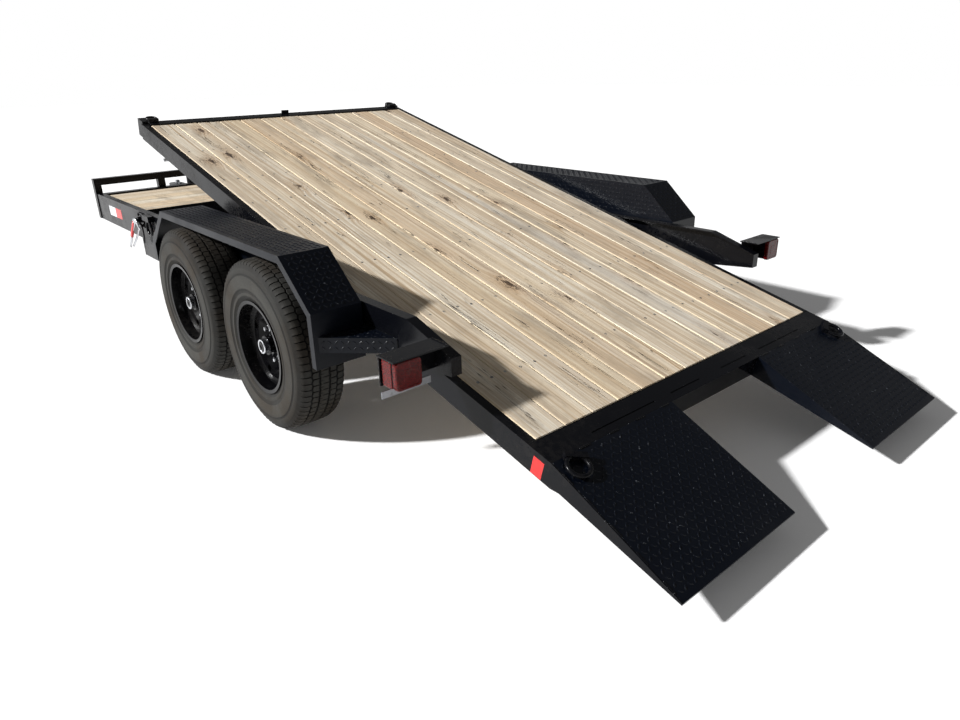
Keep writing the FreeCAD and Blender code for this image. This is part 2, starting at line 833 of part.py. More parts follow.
os.makedirs("parts", exist_ok=True)
save("rail_left", side_rail())
save("rail_right", right_of(side_rail()))
save("lower_rails", both_sides(lower_rail()))
save("cross_members", cross_members())
save("front_frame", front_frame())
save("headboard", headboard())
save("front_boards", front_boards())
save("tongue", tongue())
save("coupler", coupler())
save("coupler_latch", coupler_latch())
save("jack_tube", jack_tube())
save("jack_crank", jack_crank())
save("jack_leg", jack_leg())
save("fender_left", fender())
save("fender_right", right_of(fender()))
save("steps", both_sides(step()))
save("lamp_brackets", both_sides(lamp_bracket()))
save("lamps", both_sides(lamp()))
save("plate_bracket", plate_bracket())
save("axle_rear", axle(axle_x[0]))
save("axle_front", axle(axle_x[1]))
save("springs", both_sides(springs_left()))
save("hangers", both_sides(hangers_left()))
save("pivot_shaft", pivot_shaft())
save("rail_rings", rail_rings())
save("deck_latch", deck_latch())
save("tilt_rail_left", tilt_side(), True)
save("tilt_rail_right", right_of(tilt_side()), True)
save("tilt_cross", tilt_cross(), True)
save("pivot_ears", pivot_ears(), True)
save("tilt_boards", tilt_boards(), True)
save("tail_band", tail_band_plate(), True)
save("tail_plate_left", tail_plate(), True)
save("tail_plate_right", right_of(tail_plate()), True)
save("deck_rings", deck_rings(), True)
save("cylinder_barrel", turn_up(cylinder_barrel()))
save("cylinder_rod", turn_up(cylinder_rod(), slides=True))
for end, x in (("rear", axle_x[0]), ("front", axle_x[1])):
    for side in ("left", "right"):
        for kind, shape in (("tyre", tyre(x)), ("wheel", Part.makeCompound([wheel(x), hub(x)]))):
            if side == "right":
                shape = right_of(shape)
            save(kind + "_" + end + "_" + side, shape)
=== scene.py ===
import json
import math
import random

import bpy
from mathutils import Matrix, Vector


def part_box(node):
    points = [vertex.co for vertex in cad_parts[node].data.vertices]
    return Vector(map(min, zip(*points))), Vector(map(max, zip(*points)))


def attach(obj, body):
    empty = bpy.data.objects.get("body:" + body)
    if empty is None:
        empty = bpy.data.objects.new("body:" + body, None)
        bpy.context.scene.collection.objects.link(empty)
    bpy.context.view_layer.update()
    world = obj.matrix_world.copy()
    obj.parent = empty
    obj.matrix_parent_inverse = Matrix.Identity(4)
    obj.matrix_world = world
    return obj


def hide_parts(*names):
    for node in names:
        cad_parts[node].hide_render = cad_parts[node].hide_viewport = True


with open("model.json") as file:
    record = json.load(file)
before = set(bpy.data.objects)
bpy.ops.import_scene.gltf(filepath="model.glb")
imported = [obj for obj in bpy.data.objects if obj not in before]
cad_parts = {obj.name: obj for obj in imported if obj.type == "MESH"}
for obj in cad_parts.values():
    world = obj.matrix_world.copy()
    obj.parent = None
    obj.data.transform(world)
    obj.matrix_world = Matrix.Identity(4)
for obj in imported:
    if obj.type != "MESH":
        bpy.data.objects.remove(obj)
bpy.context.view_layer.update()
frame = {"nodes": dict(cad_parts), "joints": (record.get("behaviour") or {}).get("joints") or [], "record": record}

# ---------------------------------------------------------------- places read from the frame

JOINTS = {joint["name"]: joint for joint in frame["joints"]}
SLOTS = {part["node"]: part["material_slot"] for part in frame["record"]["subparts"]}
PIVOT = Vector(JOINTS["deck_tilt"]["pos_m"])
TILT = math.radians(JOINTS["deck_tilt"]["range_deg"][1])
# RAISED carries a point of the deck from its level place to its parked, tilted place.
RAISED = Matrix.Translation(PIVOT) @ Matrix.Rotation(-TILT, 4, "Y") @ Matrix.Translation(-PIVOT)
SIDES = {"left": 1, "right": -1}
LIFT = 0.0003


def level_box(node):
    """Corners of a deck node's box with the deck swung down level."""
    down = RAISED.inverted()
    points = [down @ vertex.co for vertex in frame["nodes"][node].data.vertices]
    low = Vector([min(p[i] for p in points) for i in range(3)])
    high = Vector([max(p[i] for p in points) for i in range(3)])
    return low, high


def srgb(red, green, blue):
    """Linear colour of an 8-bit display colour."""
    def linear(value):
        value /= 255
        return value / 12.92 if value <= 0.04045 else ((value + 0.055) / 1.055) ** 2.4
    return (linear(red), linear(green), linear(blue), 1)


# ---------------------------------------------------------------- node helpers

class Nodes:
    """A material under construction: makes nodes, and links whatever input is a socket."""

    def __init__(self, name):
        self.material = bpy.data.materials.new(name)
        self.material.use_nodes = True
        self.tree = self.material.node_tree
        self.shader = self.tree.nodes["Principled BSDF"]
        self.place = self.node("ShaderNodeTexCoord").outputs["Object"]

    def feed(self, socket, value):
        if isinstance(value, bpy.types.NodeSocket):
            self.tree.links.new(value, socket)
        else:
            socket.default_value = value

    def node(self, kind, inputs=None, **settings):
        node = self.tree.nodes.new(kind)
        for name, value in settings.items():
            setattr(node, name, value)
        for name, value in (inputs or {}).items():
            self.feed(node.inputs[name], value)
        return node

    def math(self, operation, first, second=0.0):
        return self.node("ShaderNodeMath", {0: first, 1: second}, operation=operation).outputs[0]

    def fit(self, value, low, high, to_low=0.0, to_high=1.0):
        """The value carried from low..high to to_low..to_high, eased and clamped."""
        inputs = {"Value": value, "From Min": low, "From Max": high, "To Min": to_low, "To Max": to_high}
        return self.node("ShaderNodeMapRange", inputs, interpolation_type="SMOOTHSTEP").outputs["Result"]

    def mix(self, factor, first, second, kind="MIX"):
        node = self.node("ShaderNodeMix", data_type="RGBA", blend_type=kind)
        self.feed(node.inputs["Factor"], factor)
        self.feed(node.inputs[6], first)
        self.feed(node.inputs[7], second)
        return node.outputs[2]

    def stretch(self, vector, scale):
        node = self.node("ShaderNodeVectorMath", {0: vector, 1: scale}, operation="MULTIPLY")
        return node.outputs[0]

    def noise(self, vector, scale=1.0, detail=4.0, rough=0.5):
        inputs = {"Vector": vector, "Scale": scale, "Detail": detail, "Roughness": rough}
        return self.node("ShaderNodeTexNoise", inputs).outputs["Fac"]

    def ramp(self, value, stops):
        node = self.node("ShaderNodeValToRGB", {"Fac": value})
        elements = node.color_ramp.elements
        while len(elements) < len(stops):
            elements.new(0.5)
        for element, (position, colour) in zip(elements, stops):
            element.position = position
            element.color = colour
        return node.outputs["Color"]

    def bump(self, height, distance, strength=1.0):
        inputs = {"Height": height, "Distance": distance, "Strength": strength}
        normal = self.node("ShaderNodeBump", inputs).outputs["Normal"]
        self.tree.links.new(normal, self.shader.inputs["Normal"])

    def edges(self, radius):
        """1 near the piece's sharp edges, 0 on its flats."""
        rounded = self.node("ShaderNodeBevel", {"Radius": radius}, samples=4).outputs["Normal"]
        flat = self.node("ShaderNodeNewGeometry").outputs["Normal"]
        dot = self.node("ShaderNodeVectorMath", {0: rounded, 1: flat}, operation="DOT_PRODUCT")
        return self.fit(dot.outputs["Value"], 0.995, 0.9)

    def finish(self, colour, roughness, **constants):
        self.feed(self.shader.inputs["Base Color"], colour)
        self.feed(self.shader.inputs["Roughness"], roughness)
        for name, value in constants.items():
            self.shader.inputs[name.replace("_", " ")].default_value = value
        return self.material


# ---------------------------------------------------------------- materials

def black_enamel(name, base, dust, shine, peel, wear=1.0):
    """Sprayed enamel: orange peel, dull dusty patches, grey scuffs along edges."""
    n = Nodes(name)
    broad = n.noise(n.place, 2.3, 5, 0.6)
    fine = n.noise(n.place, 45, 5, 0.65)
    film = n.math("MULTIPLY", n.fit(broad, 0.42, 0.72), n.fit(fine, 0.35, 0.7))
    colour = n.mix(n.math("MULTIPLY", film, 0.2), base, dust)
    specks = n.fit(n.noise(n.place, 160, 3, 0.7), 0.60, 0.66)
    scuffs = n.fit(n.noise(n.place, 11, 4, 0.6), 0.52, 0.60)
    edge_specks = n.math("MULTIPLY", n.math("MULTIPLY", n.edges(0.003), wear),
                  n.math("MULTIPLY", specks, scuffs))
    colour = n.mix(edge_specks, colour, srgb(150, 152, 155))
    roughness = n.math("ADD", n.fit(broad, 0.3, 0.75, shine, shine + 0.16), n.math("MULTIPLY", film, 0.2))
    n.bump(n.noise(n.place, 28, 2, 0.5), 0.0006, peel)
    return n.finish(colour, roughness, Specular_IOR_Level=0.15)


def tread_plate():
    """Painted tread plate, duller than the frame, with dust held between the lozenges, a painted sky reflection in
    its blue-black base and painted highlights as light specks along its edges.
    """
    n = Nodes("tread_plate")
    broad = n.noise(n.place, 3.1, 6, 0.6)
    fine = n.noise(n.place, 190, 3, 0.6)
    dusty = n.math("MULTIPLY", n.fit(broad, 0.45, 0.75), n.fit(fine, 0.4, 0.75))
    # The near-black base's blue tint is a painted sky reflection; the grey it mixes toward is dust.
    colour = n.mix(n.math("MULTIPLY", dusty, 0.4), srgb(5, 9, 18), srgb(44, 43, 44))
    # Light specks along the edges: painted highlights standing in for glints.
    edge_specks = n.math("MULTIPLY", n.edges(0.002), n.fit(n.noise(n.place, 70, 4, 0.7), 0.58, 0.66))
    colour = n.mix(edge_specks, colour, srgb(130, 134, 140))
    n.bump(n.noise(n.place, 320, 3, 0.6), 0.0004, 0.5)
    return n.finish(colour, n.fit(broad, 0.3, 0.8, 0.28, 0.46), Specular_IOR_Level=0.2)


def rubber():
    """Tyre rubber: dusty grey on what stands out, and darker in the grooves, cuts and recessed rings as painted
    shade.
    """
    n = Nodes("tyre")
    # The dust attribute is real dust on the raised parts, and painted shade where it is low, in grooves and cuts.
    dust = n.node("ShaderNodeAttribute", attribute_name="dust").outputs["Fac"]
    broad = n.noise(n.place, 7, 6, 0.65)
    fine = n.noise(n.place, 240, 3, 0.7)
    amount = n.math("MULTIPLY", dust, n.fit(broad, 0.25, 0.7, 0.55, 1.0))
    brown = n.mix(n.fit(n.noise(n.place, 3.3, 4, 0.6), 0.4, 0.65), srgb(78, 77, 73), srgb(66, 59, 50))
    colour = n.mix(n.math("MULTIPLY", amount, n.fit(fine, 0.25, 0.75, 0.6, 1.0)), srgb(12, 12, 12), brown)
    n.bump(fine, 0.0006, 0.5)
    return n.finish(colour, n.fit(broad, 0.3, 0.7, 0.68, 0.86), Specular_IOR_Level=0.2)


def planks():
    """Weathered softwood: growth bands that bend round knots, grey weathering, stains and cracks."""
    n = Nodes("wood")
    grain = n.node("ShaderNodeAttribute", attribute_name="grain").outputs["Vector"]
    board = n.node("ShaderNodeAttribute", attribute_name="board").outputs["Vector"]
    along, across, _ = n.node("ShaderNodeSeparateXYZ", {0: grain}).outputs
    tone, grey_tone, edge = n.node("ShaderNodeSeparateXYZ", {0: board}).outputs

    knot_inputs = {"Vector": n.stretch(grain, (2.1, 5.6, 0)), "Scale": 1.0}
    cells = n.node("ShaderNodeTexVoronoi", knot_inputs, voronoi_dimensions="2D")
    chance = n.node("ShaderNodeSeparateXYZ", {0: cells.outputs["Color"]}).outputs[0]
    present = n.fit(chance, 0.62, 0.9, 0.0, 1.0)
    distance = n.math("ADD", cells.outputs["Distance"],
                      n.fit(n.noise(n.stretch(grain, (30, 60, 1)), 1, 3), 0.2, 0.8, -0.03, 0.03))
    size = n.fit(chance, 0.62, 1.0, 0.02, 0.10)
    knot = n.fit(n.math("DIVIDE", distance, size), 1.1, 0.6)
    knot = n.math("MULTIPLY", knot, n.fit(chance, 0.62, 0.66))
    halo = n.math("MULTIPLY", present, n.fit(distance, 0.42, 0.02))

    wander = n.noise(n.stretch(grain, (0.55, 3.0, 1)), 1, 2)
    bent = n.math("ADD", across, n.math("MULTIPLY", halo, 0.035))
    bent = n.math("ADD", bent, n.math("MULTIPLY", wander, 0.06))
    flow = n.node("ShaderNodeCombineXYZ", {0: along, 1: bent, 2: tone}).outputs[0]
    bands = n.noise(n.stretch(flow, (0.5, 85, 9)), 1, 2, 0.55)
    streaks = n.noise(n.stretch(flow, (5, 420, 9)), 1, 3, 0.6)
    strips = n.noise(n.stretch(flow, (0.35, 16, 9)), 1, 2, 0.5)

    colour = n.ramp(bands, [
        (0.33, srgb(188, 166, 138)),
        (0.42, srgb(220, 205, 182)),
        (0.52, srgb(238, 229, 212)),
        (0.64, srgb(247, 241, 229)),
    ])
    warm = n.ramp(tone, [
        (0.0, srgb(255, 253, 248)),
        (0.45, srgb(254, 247, 236)),
        (0.8, srgb(251, 238, 216)),
        (1.0, srgb(246, 224, 200)),
    ])
    colour = n.mix(0.85, colour, warm, "MULTIPLY")
    strip_dark = n.fit(strips, 0.60, 0.36)
    colour = n.mix(n.math("MULTIPLY", strip_dark, 0.5), colour, srgb(192, 170, 144))
    grey = n.math("MULTIPLY", n.fit(strips, 0.46, 0.66), n.math("MULTIPLY", grey_tone, 0.75))
    colour = n.mix(grey, colour, srgb(202, 198, 190))
    colour = n.mix(n.fit(streaks, 0.36, 0.60, 0.40, 0.0), colour, srgb(158, 140, 118))

    clouds = n.noise(n.stretch(n.place, (1.1, 4.0, 1)), 2.1, 6, 0.66)
    stain = n.math("MULTIPLY", n.fit(clouds, 0.46, 0.66), n.fit(strips, 0.3, 0.6, 0.4, 1.0))
    colour = n.mix(n.math("MULTIPLY", stain, 0.62), colour, srgb(158, 144, 126))
    drops = n.fit(n.noise(n.stretch(grain, (9, 26, 1)), 1, 5, 0.7), 0.60, 0.72)
    drops = n.math("MULTIPLY", drops, n.fit(n.noise(n.stretch(n.place, (1.3, 1.3, 1)), 1, 2), 0.42, 0.56))
    colour = n.mix(n.math("MULTIPLY", drops, 0.55), colour, srgb(112, 96, 80))

    colour = n.mix(n.math("MULTIPLY", halo, 0.38), colour, srgb(186, 146, 104))
    colour = n.mix(n.math("MULTIPLY", knot, 0.9), colour, srgb(78, 60, 46))
    side = n.fit(n.math("ABSOLUTE", edge), 0.965, 0.99)
    colour = n.mix(n.math("MULTIPLY", side, n.fit(strips, 0.3, 0.6, 0.1, 0.5)), colour, srgb(244, 228, 192))
    split_at = n.noise(n.stretch(flow, (1.3, 34, 5)), 1, 3, 0.6)
    hairline = n.fit(n.math("ABSOLUTE", n.math("SUBTRACT", split_at, 0.5)), 0.012, 0.003)
    split = n.math("MULTIPLY", hairline, n.fit(n.noise(n.stretch(grain, (1.4, 7, 1)), 1.7, 2), 0.56, 0.62))
    near_knot = n.math("MULTIPLY", present, n.fit(distance, 0.30, 0.06))
    fissure_at = n.noise(n.stretch(grain, (7, 30, 1)), 1, 3, 0.7)
    fissure = n.fit(n.math("ABSOLUTE", n.math("SUBTRACT", fissure_at, 0.5)), 0.030, 0.008)
    split = n.math("MAXIMUM", split, n.math("MULTIPLY", fissure, near_knot))
    colour = n.mix(n.math("MULTIPLY", split, 0.9), colour, srgb(58, 46, 38))

    height = n.math("ADD", n.math("MULTIPLY", bands, 0.6), n.math("MULTIPLY", streaks, 0.4))
    height = n.math("SUBTRACT", height, n.math("MULTIPLY", split, 1.2))
    n.bump(height, 0.0016, 0.8)
    return n.finish(colour, n.fit(bands, 0.3, 0.7, 0.62, 0.82), Specular_IOR_Level=0.3)


def red_lens():
    n = Nodes("red_lens")
    cells = n.node("ShaderNodeTexVoronoi", {"Vector": n.place, "Scale": 260.0})
    colour = n.mix(n.fit(cells.outputs["Distance"], 0.1, 0.6), srgb(128, 8, 6), srgb(60, 2, 2))
    dirt = n.fit(n.noise(n.place, 26, 5, 0.7), 0.52, 0.75)
    colour = n.mix(n.math("MULTIPLY", dirt, 0.2), colour, srgb(96, 60, 50))
    n.bump(cells.outputs["Distance"], 0.0008, 0.4)
    return n.finish(colour, n.fit(dirt, 0, 1, 0.22, 0.5), Specular_IOR_Level=0.25)


def metal(name, base, dull, roughness):
    n = Nodes(name)
    brushed = n.noise(n.stretch(n.place, (30, 30, 260)), 1, 4, 0.6)
    spots = n.fit(n.noise(n.place, 34, 5, 0.65), 0.5, 0.72)
    colour = n.mix(n.math("MULTIPLY", spots, 0.55), base, dull)
    n.bump(brushed, 0.0003, 0.4)
    rough = n.fit(brushed, 0.3, 0.7, roughness, roughness + 0.14)
    rough = n.math("ADD", rough, n.math("MULTIPLY", spots, 0.2))
    return n.finish(colour, rough, Metallic=1.0)


def tape(name, bright, dark):
    """Retroreflective tape with its fine honeycomb."""
    n = Nodes(name)
    cells = n.node("ShaderNodeTexVoronoi", {"Vector": n.place, "Scale": 300.0}, feature="DISTANCE_TO_EDGE")
    colour = n.mix(n.fit(cells.outputs["Distance"], 0.02, 0.09), dark, bright)
    colour = n.mix(n.fit(n.noise(n.place, 18, 5, 0.7), 0.55, 0.8, 0.0, 0.4), colour, srgb(120, 110, 104))
    return n.finish(colour, n.fit(cells.outputs["Distance"], 0.0, 0.1, 0.5, 0.28), Coat_Weight=0.3)


MATERIALS = {
    "black_paint": black_enamel("black_paint", srgb(8, 9, 13), srgb(66, 62, 58), 0.14, 0.12),
    "tread_plate": tread_plate(),
    "gloss_black": black_enamel("gloss_black", srgb(6, 6, 8), srgb(60, 56, 50), 0.12, 0.1, 0.0),
    "tyre": rubber(),
    "wood": planks(),
    "red_lens": red_lens(),
    "bright_steel": metal("bright_steel", srgb(214, 216, 220), srgb(140, 138, 136), 0.16),
    "grey_steel": metal("grey_steel", srgb(150, 152, 156), srgb(96, 92, 88), 0.34),
    "red_tape": tape("red_tape", srgb(226, 30, 26), srgb(120, 10, 10)),
    "white_tape": tape("white_tape", srgb(236, 238, 240), srgb(160, 164, 168)),
}
BEVEL = 0.0015
for node, solid in frame["nodes"].items():
    solid.data.materials.clear()
    solid.data.materials.append(MATERIALS[SLOTS[node]])
    bevel = solid.modifiers.new("edges", "BEVEL")
    bevel.width = BEVEL
    bevel.segments = 2
    bevel.limit_method = "ANGLE"


# ---------------------------------------------------------------- mesh helpers

RIPPLE = 0.22
BEAD_END = 0.35


class Shape:
    """Points and faces of one piece, with named values on its points."""

    def __init__(self):
        self.points = []
        self.faces = []
        self.values = {}

    def add(self, points, faces, **values):
        start = len(self.points)
        self.points.extend(Vector(p) for p in points)
        self.faces.extend(tuple(start + i for i in face) for face in faces)
        for name, column in values.items():
            self.values.setdefault(name, []).extend(column)

    def brick(self, low, high, place=None):
        """A block from its low to its high corner."""
        corners = []
        for x in (low[0], high[0]):
            for y in (low[1], high[1]):
                for z in (low[2], high[2]):
                    corners.append(Vector((x, y, z)))
        if place:
            corners = [place @ c for c in corners]
        sides = [(0, 1, 3, 2), (4, 6, 7, 5), (0, 4, 5, 1), (2, 3, 7, 6), (0, 2, 6, 4), (1, 5, 7, 3)]
        self.add(corners, sides)

    def tube(self, points, size):
        """A closed tube through rings of points, size points to a ring, with flat ends."""
        rings = len(points) // size
        faces = [tuple(range(size))[::-1], tuple((rings - 1) * size + k for k in range(size))]
        for i in range(rings - 1):
            for k in range(size):
                j = (k + 1) % size
                faces.append((i * size + k, i * size + j, (i + 1) * size + j, (i + 1) * size + k))
        self.add(points, faces)

    def turned(self, profile, place, count=32):
        """A closed ring turned about the local Z axis from (radius, z) points."""
        points = []
        for i in range(count):
            angle = math.tau * i / count
            for radius, z in profile:
                points.append(place @ Vector((radius * math.cos(angle), radius * math.sin(angle), z)))
        size = len(profile)
        faces = []
        for i in range(count):
            here, there = i * size, (i + 1) % count * size
            for j in range(size - 1):
                faces.append((here + j, there + j, there + j + 1, here + j + 1))
        self.add(points, faces)

    def bead(self, start, end, radius, seed, place=None):
        """A weld bead: a rippled half-round run between two points."""
        draw = random.Random(seed)
        start, end = Vector(start), Vector(end)
        along = (end - start).normalized()
        side = along.orthogonal().normalized()
        other = along.cross(side)
        count = max(3, int((end - start).length / (radius * 0.9)))
        sides = 8
        points = []
        for i in range(count + 1):
            swell = radius * (1 + RIPPLE * (i % 2) + draw.uniform(-0.08, 0.08))
            if i in (0, count):
                swell *= BEAD_END
            centre = start.lerp(end, i / count)
            for k in range(sides):
                turn = math.tau * k / sides
                points.append(centre + swell * (math.cos(turn) * side + math.sin(turn) * other))
        if place:
            points = [place @ p for p in points]
        self.tube(points, sides)

    def piece(self, name, body, slot, material=None, smooth=False, bevel=0.0):
        mesh = bpy.data.meshes.new(name)
        mesh.from_pydata(self.points, [], self.faces)
        for value_name, column in self.values.items():
            if isinstance(column[0], float):
                mesh.attributes.new(value_name, "FLOAT", "POINT").data.foreach_set("value", column)
            else:
                flat = [part for vector in column for part in vector]
                mesh.attributes.new(value_name, "FLOAT_VECTOR", "POINT").data.foreach_set("vector", flat)
        mesh.materials.append(MATERIALS[material or slot])
        mesh.polygons.foreach_set("use_smooth", [smooth] * len(mesh.polygons))
        mesh.validate()
        mesh.update()
        made = bpy.data.objects.new(name, mesh)
        bpy.context.scene.collection.objects.link(made)
        if bevel:
            modifier = made.modifiers.new("edges", "BEVEL")
            modifier.width = bevel
            modifier.segments = 2
            modifier.limit_method = "ANGLE"
        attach(made, body)
        return made


# ---------------------------------------------------------------- planks

PLANK_EDGE = 0.005
PLANK_STEP = 0.05
PLANK_GAP = 0.003
TILT_PLANKS = 13
FRONT_PLANKS = 6


def add_plank(shape, draw, length, width, thick, place):
    """One board along local X from 0, its top at z = 0, slightly cupped and wandering."""
    half = width / 2
    round_off = 0.3 * PLANK_EDGE
    profile = [
        (-half, -thick),
        (-half, -PLANK_EDGE),
        (-half + round_off, -round_off),
        (-half + PLANK_EDGE, 0),
        (-half * 0.5, 0),
        (0, 0),
        (half * 0.5, 0),
        (half - PLANK_EDGE, 0),
        (half - round_off, -round_off),
        (half, -PLANK_EDGE),
        (half, -thick),
    ]
    count = round(length / PLANK_STEP)
    cup = draw.uniform(-0.0012, 0.0004)
    phase = draw.uniform(0, 6)
    offset = Vector((draw.uniform(0, 40), draw.uniform(0, 40), 0))
    tones = (draw.random(), draw.random())
    points, grain, board = [], [], []
    for i in range(count + 1):
        along = length * i / count
        wave = 0.0005 * math.sin(along * 2.3 + phase) - 0.0005
        for across, up in profile:
            lift = wave + cup * (1 - (across / half) ** 2) if up > -thick / 2 else 0
            points.append(place @ Vector((along, across, up + lift)))
            grain.append(Vector((along, across, up)) + offset)
            board.append((*tones, across / half))
    size = len(profile)
    faces = [tuple(range(size)), tuple(count * size + j for j in range(size))[::-1]]
    for i in range(count):
        for j in range(size):
            k = (j + 1) % size
            faces.append((i * size + j, (i + 1) * size + j, (i + 1) * size + k, i * size + k))
    shape.add(points, faces, grain=grain, board=board)


def tilting_planks():
    low, high = level_box("tilt_boards")
    draw = random.Random(11)
    shape = Shape()
    pitch = (high.y - low.y + PLANK_GAP) / TILT_PLANKS
    for i in range(TILT_PLANKS):
        middle = low.y + pitch * i + (pitch - PLANK_GAP) / 2
        place = RAISED @ Matrix.Translation((low.x, middle, high.z))
        add_plank(shape, draw, high.x - low.x, pitch - PLANK_GAP, high.z - low.z, place)
    made = shape.piece("tilt_planks", "tilt_deck", "wood")
    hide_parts("tilt_boards")


def fixed_planks():
    low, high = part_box("front_boards")
    draw = random.Random(5)
    shape = Shape()
    pitch = (high.x - low.x + PLANK_GAP) / FRONT_PLANKS
    for i in range(FRONT_PLANKS):
        middle = low.x + pitch * i + (pitch - PLANK_GAP) / 2
        place = Matrix.Translation((middle, low.y, high.z)) @ Matrix.Rotation(math.pi / 2, 4, "Z")
        add_plank(shape, draw, high.y - low.y, pitch - PLANK_GAP, high.z - low.z, place)
    made = shape.piece("front_planks", "chassis", "wood")
    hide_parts("front_boards")


tilting_planks()
fixed_planks()


# ---------------------------------------------------------------- tread plate lozenges

LOZENGE_PITCH = 0.0245
LOZENGE_LENGTH = 0.0225
LOZENGE_WIDTH = 0.0075
LOZENGE_HEIGHT = 0.0018
LOZENGE_SINK = 0.0002
LOZENGE_CREST = 0.55


def add_lozenge(shape, centre, along, across, up):
    base, crest = [], []
    sides = 8
    for k in range(sides):
        turn = math.tau * k / sides
        reach = along * (math.cos(turn) * LOZENGE_LENGTH / 2) + across * (math.sin(turn) * LOZENGE_WIDTH / 2)
        base.append(centre + reach - up * LOZENGE_SINK)
        crest.append(centre + reach * LOZENGE_CREST + up * LOZENGE_HEIGHT)
    faces = [tuple(sides + k for k in range(sides))]
    for k in range(sides):
        faces.append((k, (k + 1) % sides, sides + (k + 1) % sides, sides + k))
    shape.add(base + crest, faces)


def lozenges(shape, corner, along, across, up, inside=None, margin=0.006):
    """Rows of lozenges in alternate slants over the plate spanned by two edge vectors.
    inside(u, v) says whether a spot that far along each edge is on the plate."""
    u, v = along.normalized(), across.normalized()
    rows = int((along.length - 2 * margin) / LOZENGE_PITCH)
    columns = int((across.length - 2 * margin) / LOZENGE_PITCH)
    start_u = (along.length - (rows - 1) * LOZENGE_PITCH) / 2
    start_v = (across.length - (columns - 1) * LOZENGE_PITCH) / 2
    for i in range(rows):
        for j in range(columns):
            far, wide = start_u + i * LOZENGE_PITCH, start_v + j * LOZENGE_PITCH
            if inside and not inside(far, wide):
                continue
            slant = (u + v).normalized() if (i + j) % 2 else (u - v).normalized()
            add_lozenge(shape, corner + u * far + v * wide, slant, up.cross(slant), up)


UP = Vector((0, 0, 1))
FENDER_RUN = 0.218
FENDER_DROP = 0.189
FENDER_EDGE = 0.004
FENDER_INNER = 1.050
RAIL_GAP = 0.004
EDGE_GAP = 0.012


def fender_tread(side):
    """Lozenges on a fender's top, its two slopes and its inner wall above the rail."""
    low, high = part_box("fender_" + side)
    out = Vector((0, SIDES[side], 0))
    outer = max(abs(low.y), abs(high.y)) - FENDER_EDGE
    rear, front = low.x + FENDER_RUN, high.x - FENDER_RUN
    bend = high.z - FENDER_DROP
    start = out * FENDER_INNER
    width = out * (outer - FENDER_INNER)
    slope = math.hypot(FENDER_RUN, FENDER_DROP)
    lean = FENDER_DROP / slope, FENDER_RUN / slope
    shape = Shape()
    lozenges(shape, start + Vector((rear, 0, high.z)), Vector((front - rear, 0, 0)), width, UP)
    lozenges(shape, start + Vector((low.x, 0, bend)), Vector((FENDER_RUN, 0, FENDER_DROP)), width,
             Vector((-lean[0], 0, lean[1])))
    lozenges(shape, start + Vector((front, 0, high.z)), Vector((FENDER_RUN, 0, -FENDER_DROP)), width,
             Vector((lean[0], 0, lean[1])))
    rail_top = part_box("rail_" + side)[1].z + RAIL_GAP

    def under_cover(far, wide):
        beyond = max(FENDER_RUN - far, far - (front - low.x), 0)
        return wide + rail_top < high.z - EDGE_GAP - beyond * FENDER_DROP / FENDER_RUN

    lozenges(shape, start + Vector((low.x, 0, rail_top)), Vector((high.x - low.x, 0, 0)),
             UP * (high.z - rail_top), -out, under_cover)
    shape.piece("fender_tread_" + side, "chassis", "tread_plate")


def step_tread(side):
    """Lozenges on a step's corner plate and on the flange along its slanted edge."""
    low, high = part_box("steps")
    out = Vector((0, SIDES[side], 0))
    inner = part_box("rail_left")[1].y
    reach, width = high.x - low.x, high.y - inner
    rim = math.hypot(reach, width)
    shape = Shape()
    lozenges(shape, out * inner + Vector((low.x, 0, high.z)), Vector((reach, 0, 0)), out * width, UP,
             lambda far, wide: wide + EDGE_GAP < far * width / reach, margin=0.002)
    lozenges(shape, out * inner + Vector((low.x, 0, low.z)), Vector((reach, 0, 0)) + out * width,
             UP * (high.z - low.z), Vector((-width / rim, 0, 0)) + out * (reach / rim))
    shape.piece("step_tread_" + side, "chassis", "tread_plate")


FLAP_DROP = math.radians(10.1)
FLAP_LENGTH = 0.572
BAND = 0.114
BAND_SINK = 0.006
FLAP_INNER = 0.320


def flap_tread(side):
    out = Vector((0, SIDES[side], 0))
    low, high = level_box("tilt_boards")
    outer = max(abs(corner.y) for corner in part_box("tail_plate_" + side))
    corner = Vector((low.x - BAND, 0, high.z - BAND_SINK)) + out * FLAP_INNER
    fall = Vector((-math.cos(FLAP_DROP), 0, -math.sin(FLAP_DROP)))
    up = Vector((-math.sin(FLAP_DROP), 0, math.cos(FLAP_DROP)))
    turn = RAISED.to_3x3()
    shape = Shape()
    length = FLAP_LENGTH - 0.004
    width = outer - FLAP_INNER - 0.002
    lozenges(shape, RAISED @ corner, turn @ fall * length, out * width, turn @ up)
    shape.piece("flap_tread_" + side, "tilt_deck", "tread_plate")


for side in SIDES:
    fender_tread(side)
    step_tread(side)
    flap_tread(side)


# ---------------------------------------------------------------- tyres

TREAD_PITCHES = 78
TREAD_STEPS = (0.0, 0.03, 0.14, 0.17, 0.5, 0.53, 0.64, 0.67)
GROOVE_DEPTH = 0.008
GROOVE_SWAY = 0.0016
# The cross cuts get little dust, so they show dark as painted shade.
CUT_SHADE = 0.1


